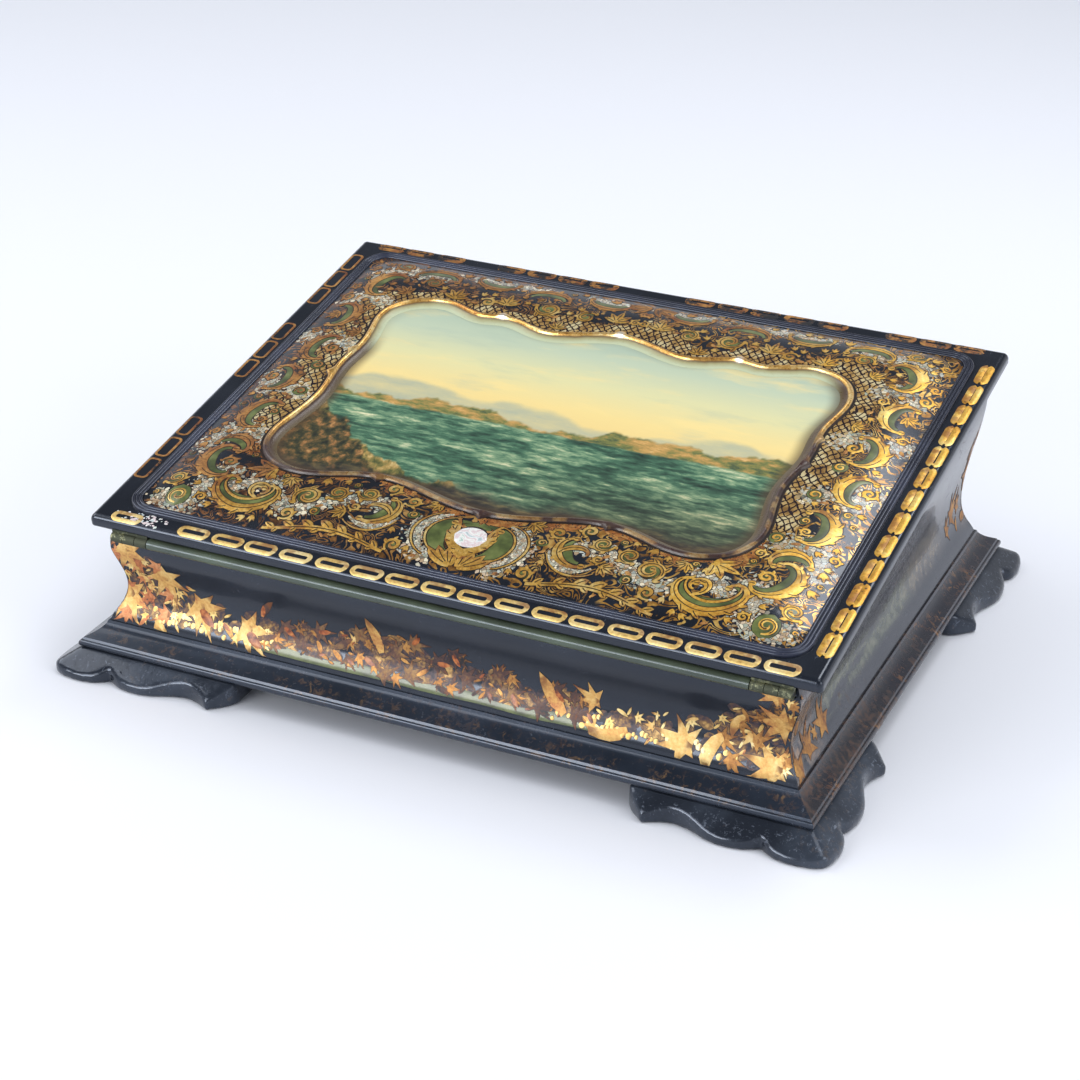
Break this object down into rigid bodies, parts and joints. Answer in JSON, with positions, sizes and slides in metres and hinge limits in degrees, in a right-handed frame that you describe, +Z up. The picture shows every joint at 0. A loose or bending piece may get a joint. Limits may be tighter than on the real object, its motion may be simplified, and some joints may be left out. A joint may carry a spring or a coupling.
{
  "type": "writing box",
  "caption": "Sloping-top lacquered writing box on scrolled feet, with a hinged lid, a hinged writing flap, a pen tray, ink bottles and a lock.",
  "frame": {"origin": "on the floor under the middle of the box", "axes": "+X to the right along the length, -Y the low front edge where the lid is hinged, +Z up"},
  "size_m": [0.4124, 0.3316, 0.1277],
  "materials": {
    "black_lacquer": "black japan lacquer, glossy",
    "olive_lacquer": "dark olive lacquer",
    "deal_board": "stained softwood",
    "brass": "aged",
    "steel": "plain",
    "bottle_glass": "clear pressed glass",
    "velvet": "crimson velvet",
    "silk_ribbon": "ribbed silk",
    "marbled_paper": "lining paper",
    "painted_picture": "varnished painting on board",
    "gilding": "gilt moulding"
  },
  "bodies": {
    "base": {"base_board": "deal_board", "plinth_front": "black_lacquer", "plinth_back": "black_lacquer", "plinth_left": "black_lacquer", "plinth_right": "black_lacquer", "foot_front_left": "black_lacquer", "foot_front_right": "black_lacquer", "foot_back_left": "black_lacquer", "foot_back_right": "black_lacquer", "wall_front": "black_lacquer", "wall_back": "black_lacquer", "wall_left": "black_lacquer", "wall_right": "black_lacquer", "front_bar": "olive_lacquer", "hinge_leaf_body_left": "brass", "hinge_leaf_body_right": "brass", "hinge_pins": "steel", "screws_in_base": "steel", "flap_rail": "black_lacquer", "flap_hinge_leaves_fixed": "brass", "flap_hinge_pins": "steel", "flap_ledge_left": "black_lacquer", "flap_ledge_right": "black_lacquer", "floor_liner": "marbled_paper", "divider": "black_lacquer", "well_wall_left": "black_lacquer", "well_wall_right": "black_lacquer", "well_floor_left": "black_lacquer", "well_floor_right": "black_lacquer", "well_cross_left": "black_lacquer", "well_cross_right": "black_lacquer", "tray_floor": "black_lacquer", "pen_tray": "black_lacquer", "tray_rail": "black_lacquer", "ink_bottle_left": "bottle_glass", "ink_bottle_right": "bottle_glass", "collar_left": "brass", "collar_right": "brass", "cap_pins": "steel", "lock_case": "brass", "escutcheon": "brass"},
    "lid": {"lid_board": "black_lacquer", "lid_reed": "black_lacquer", "lid_field": "black_lacquer", "cartouche_rim": "gilding", "painted_panel": "painted_picture", "lid_lining": "velvet", "hinge_leaf_lid_left": "brass", "hinge_leaf_lid_right": "brass", "link_plate": "brass", "screws_in_lid": "steel"},
    "flap": {"flap_board": "black_lacquer", "flap_velvet": "velvet", "flap_tab": "silk_ribbon", "flap_hinge_leaves_moving": "brass"},
    "cap_left": {"cap_left": "brass"},
    "cap_right": {"cap_right": "brass"},
    "bolt": {"lock_bolt": "brass"}
  },
  "joints": [
    {"name": "lid_hinge", "type": "hinge", "parent": "base", "child": "lid", "pos_m": [0, -0.14102, 0.07227], "axis": [1, 0, 0], "range_deg": [0, 180]},
    {"name": "flap_hinge", "type": "hinge", "parent": "base", "child": "flap", "pos_m": [0, -0.11575, 0.07511], "axis": [1, 0, 0], "range_deg": [0, 72]},
    {"name": "cap_left_hinge", "type": "hinge", "parent": "base", "child": "cap_left", "pos_m": [-0.143, 0.09435, 0.0773], "axis": [-1, 0, 0], "range_deg": [0, 95]},
    {"name": "cap_right_hinge", "type": "hinge", "parent": "base", "child": "cap_right", "pos_m": [0.143, 0.09435, 0.0773], "axis": [-1, 0, 0], "range_deg": [0, 95]},
    {"name": "lock_bolt_slide", "type": "slide", "parent": "base", "child": "bolt", "axis": [1, 0, 0], "range_m": [0, 0.004]}
  ],
  "couplings": [
    {"joint": "flap_hinge", "follows": "lid_hinge", "ratio": 0.4}
  ]
}
